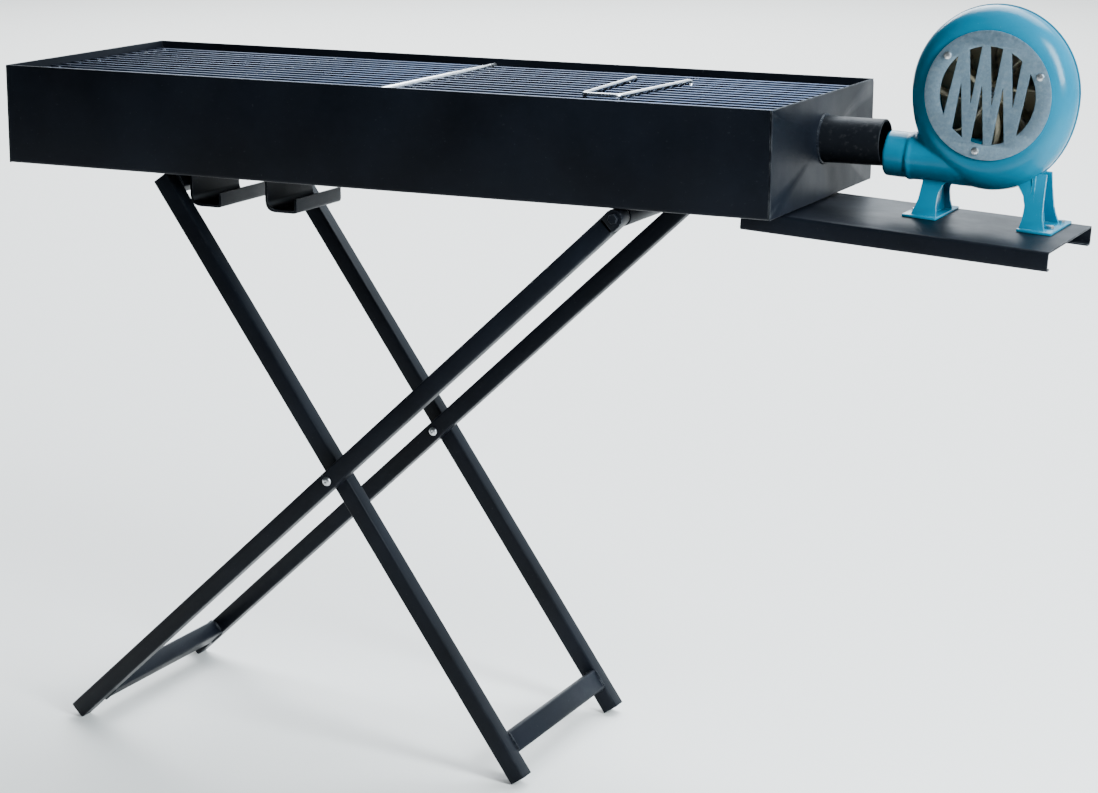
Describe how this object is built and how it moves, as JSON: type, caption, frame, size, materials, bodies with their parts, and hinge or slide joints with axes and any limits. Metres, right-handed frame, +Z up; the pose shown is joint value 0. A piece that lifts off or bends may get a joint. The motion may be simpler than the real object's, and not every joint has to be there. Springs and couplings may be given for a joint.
{
  "type": "charcoal trough with air blower",
  "caption": "Long sheet-metal charcoal trough with lift-out rod grates on a folding X stand, with a centrifugal blower on a shelf feeding air into its pipe.",
  "frame": {"origin": "on the ground, under the middle of the whole object's box", "axes": "+X along the trough towards the blower, +Y to the motor side, +Z up"},
  "size_m": [1.1826, 0.32, 0.8638],
  "materials": {
    "black_paint": "satin",
    "grate_steel": "satin",
    "bright_steel": "polished",
    "zinc": "satin",
    "teal_paint": "gloss",
    "galvanised": "mottled",
    "fan_plastic": "satin",
    "rotor_steel": "satin",
    "copper": "satin",
    "black_plastic": "matte"
  },
  "bodies": {
    "firebox": {"trough_pan": "black_paint", "left_end_plate": "black_paint", "right_end_plate": "black_paint", "front_grate_ledge": "black_paint", "back_grate_ledge": "black_paint", "centre_bar": "bright_steel", "air_pipe": "black_paint", "burner_pipe": "black_paint", "pipe_end_cap": "black_paint", "pipe_saddles": "black_paint", "left_hook": "black_paint", "right_hook": "black_paint", "hinge_bar": "black_paint", "hinge_bolts": "black_paint", "hinge_washers": "zinc", "blower_shelf": "black_paint", "shelf_screws": "zinc", "shelf_nuts": "zinc", "left_blower_foot": "teal_paint", "right_blower_foot": "teal_paint", "foot_bolts": "zinc", "foot_nuts": "zinc", "blower_housing": "teal_paint", "back_cover": "teal_paint", "cover_screws": "zinc", "inlet_guard": "galvanised", "guard_screws": "zinc", "motor_stator": "copper", "front_bearing": "bright_steel", "rear_bearing": "bright_steel", "motor_can": "black_paint", "motor_end_cap": "black_paint", "end_cap_screws": "zinc", "cable_gland": "black_plastic"},
    "right_frame": {"right_front_leg": "black_paint", "right_back_leg": "black_paint", "right_foot_bar": "black_paint", "scissor_bolts": "zinc", "scissor_washers": "zinc", "scissor_nuts": "zinc"},
    "left_frame": {"left_front_leg": "black_paint", "left_back_leg": "black_paint", "left_top_bar": "black_paint", "left_foot_bar": "black_paint"},
    "left_grate": {"left_grate": "grate_steel"},
    "right_grate": {"right_grate": "grate_steel"},
    "grate_handle": {"grate_handle": "bright_steel"},
    "impeller": {"impeller": "fan_plastic", "impeller_nut": "zinc", "motor_shaft": "bright_steel", "motor_rotor": "rotor_steel"}
  },
  "joints": [
    {"name": "stand_fold", "type": "hinge", "parent": "firebox", "child": "right_frame", "pos_m": [0.15172, 0, 0.643], "axis": [0, 1, 0], "range_deg": [0, 38.6]},
    {"name": "scissor_pivot", "type": "hinge", "parent": "right_frame", "child": "left_frame", "pos_m": [-0.18763, 0, 0.32655], "axis": [0, -1, 0], "range_deg": [0, 95.2]},
    {"name": "left_grate_lift", "type": "slide", "parent": "firebox", "child": "left_grate", "axis": [0, 0, 1], "range_m": [0, 0.08]},
    {"name": "right_grate_lift", "type": "slide", "parent": "firebox", "child": "right_grate", "axis": [0, 0, 1], "range_m": [0, 0.08]},
    {"name": "grate_handle_swing", "type": "hinge", "parent": "right_grate", "child": "grate_handle", "pos_m": [0.10572, 0.08, 0.7535], "axis": [-1, 0, 0], "range_deg": [0, 100]},
    {"name": "impeller_spin", "type": "hinge", "parent": "firebox", "child": "impeller", "pos_m": [0.5011, 0.06, 0.77404], "axis": [0, 1, 0], "continuous": true}
  ],
  "couplings": [
    {"joint": "scissor_pivot", "follows": "stand_fold", "ratio": 2.45}
  ]
}
